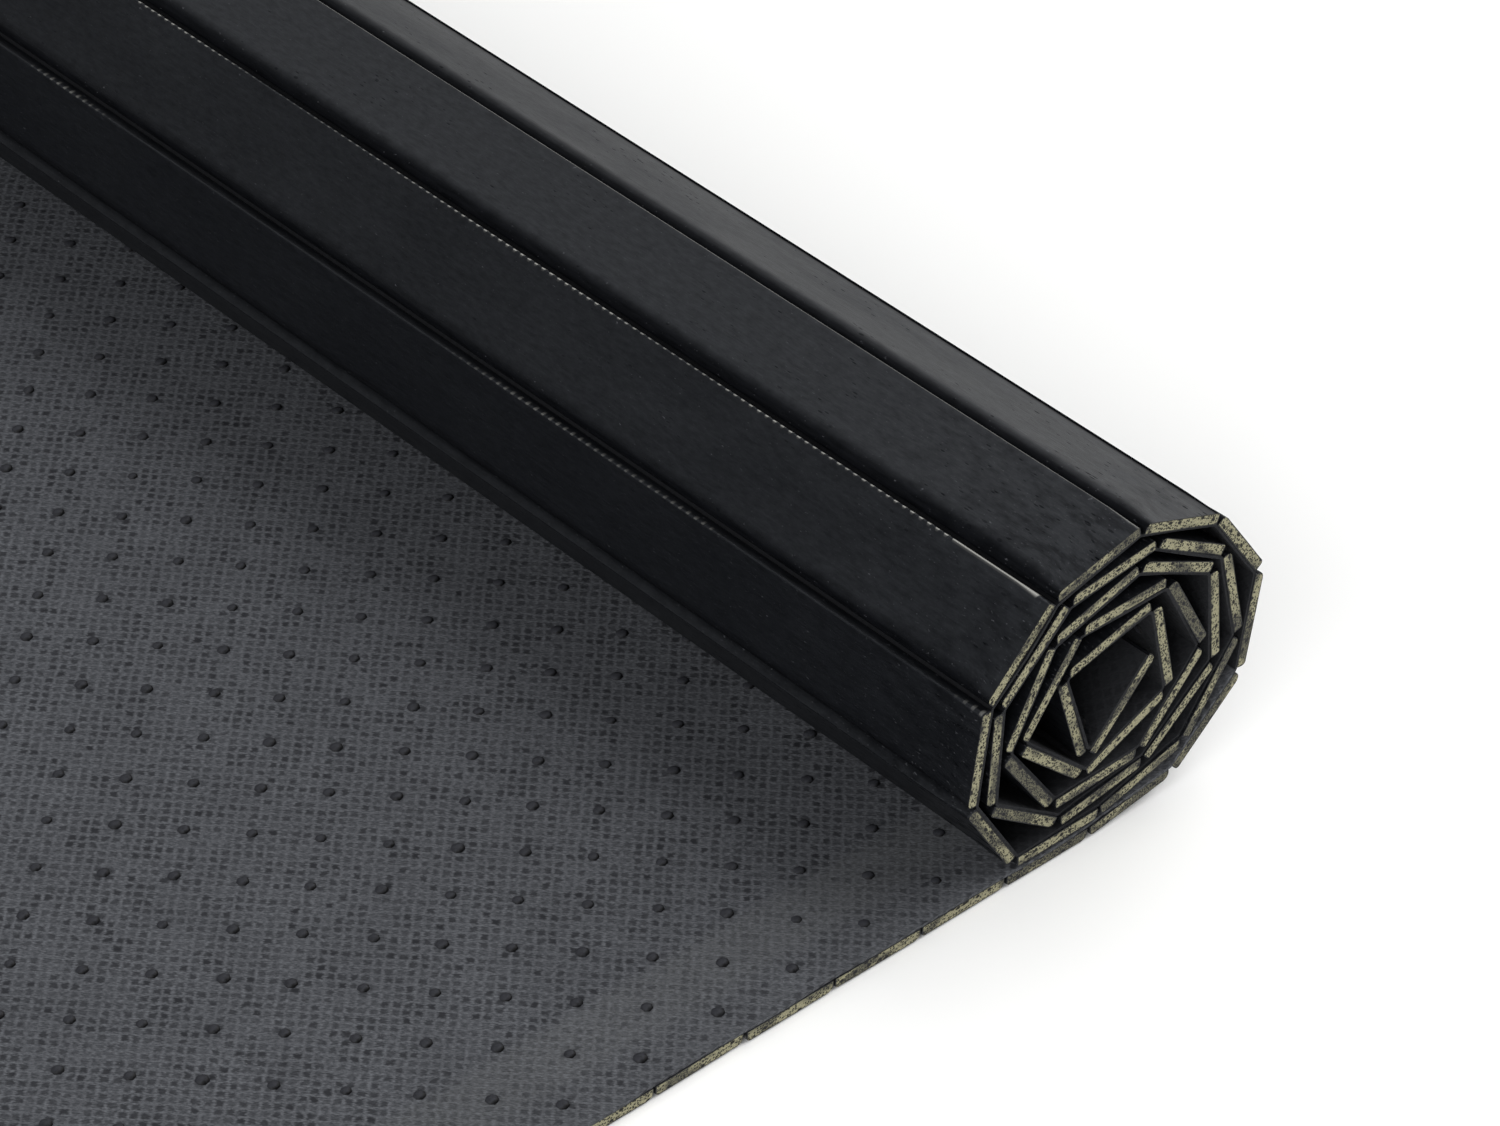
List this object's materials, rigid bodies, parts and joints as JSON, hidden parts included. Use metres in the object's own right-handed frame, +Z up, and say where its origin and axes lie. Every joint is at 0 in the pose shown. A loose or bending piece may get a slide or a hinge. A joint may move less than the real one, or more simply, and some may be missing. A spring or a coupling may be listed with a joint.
{
  "type": "rollable bamboo mat",
  "caption": "Roll-up floor mat of black-lacquered bamboo slats on a dotted anti-slip cloth backing, lying face down with one end wound into a loose roll.",
  "frame": {"origin": "middle of the outline on the floor, roll included", "axes": "+X across the slats towards the roll, +Y along the slats and the roll, +Z up"},
  "size_m": [0.4686, 0.6, 0.0683],
  "materials": {
    "lacquered_bamboo": "black satin lacquer, bare at the sawn ends",
    "embossed_nonwoven": "matt embossed nonwoven with raised anti-slip dots"
  },
  "bodies": {
    "root": {"flat_slat_01": "lacquered_bamboo", "flat_slat_02": "lacquered_bamboo", "flat_slat_03": "lacquered_bamboo", "flat_slat_04": "lacquered_bamboo", "flat_slat_05": "lacquered_bamboo", "flat_slat_06": "lacquered_bamboo", "flat_slat_07": "lacquered_bamboo", "flat_slat_08": "lacquered_bamboo", "flat_slat_09": "lacquered_bamboo", "flat_slat_10": "lacquered_bamboo", "flat_slat_11": "lacquered_bamboo", "flat_slat_12": "lacquered_bamboo", "flat_slat_13": "lacquered_bamboo", "flat_slat_14": "lacquered_bamboo", "flat_slat_15": "lacquered_bamboo", "flat_slat_16": "lacquered_bamboo", "flat_slat_17": "lacquered_bamboo", "flat_slat_18": "lacquered_bamboo", "flat_slat_19": "lacquered_bamboo", "flat_slat_20": "lacquered_bamboo", "wound_slat_01": "lacquered_bamboo", "wound_slat_02": "lacquered_bamboo", "wound_slat_03": "lacquered_bamboo", "wound_slat_04": "lacquered_bamboo", "wound_slat_05": "lacquered_bamboo", "wound_slat_06": "lacquered_bamboo", "wound_slat_07": "lacquered_bamboo", "wound_slat_08": "lacquered_bamboo", "wound_slat_09": "lacquered_bamboo", "wound_slat_10": "lacquered_bamboo", "wound_slat_11": "lacquered_bamboo", "wound_slat_12": "lacquered_bamboo", "wound_slat_13": "lacquered_bamboo", "wound_slat_14": "lacquered_bamboo", "wound_slat_15": "lacquered_bamboo", "wound_slat_16": "lacquered_bamboo", "wound_slat_17": "lacquered_bamboo", "wound_slat_18": "lacquered_bamboo", "wound_slat_19": "lacquered_bamboo", "wound_slat_20": "lacquered_bamboo", "wound_slat_21": "lacquered_bamboo", "wound_slat_22": "lacquered_bamboo", "wound_slat_23": "lacquered_bamboo", "wound_slat_24": "lacquered_bamboo", "wound_slat_25": "lacquered_bamboo", "wound_slat_26": "lacquered_bamboo", "wound_slat_27": "lacquered_bamboo", "wound_slat_28": "lacquered_bamboo", "wound_slat_29": "lacquered_bamboo", "wound_slat_30": "lacquered_bamboo", "wound_slat_31": "lacquered_bamboo", "wound_slat_32": "lacquered_bamboo", "wound_slat_33": "lacquered_bamboo", "wound_slat_34": "lacquered_bamboo", "wound_slat_35": "lacquered_bamboo", "wound_slat_36": "lacquered_bamboo", "backing": "embossed_nonwoven"}
  },
  "joints": []
}
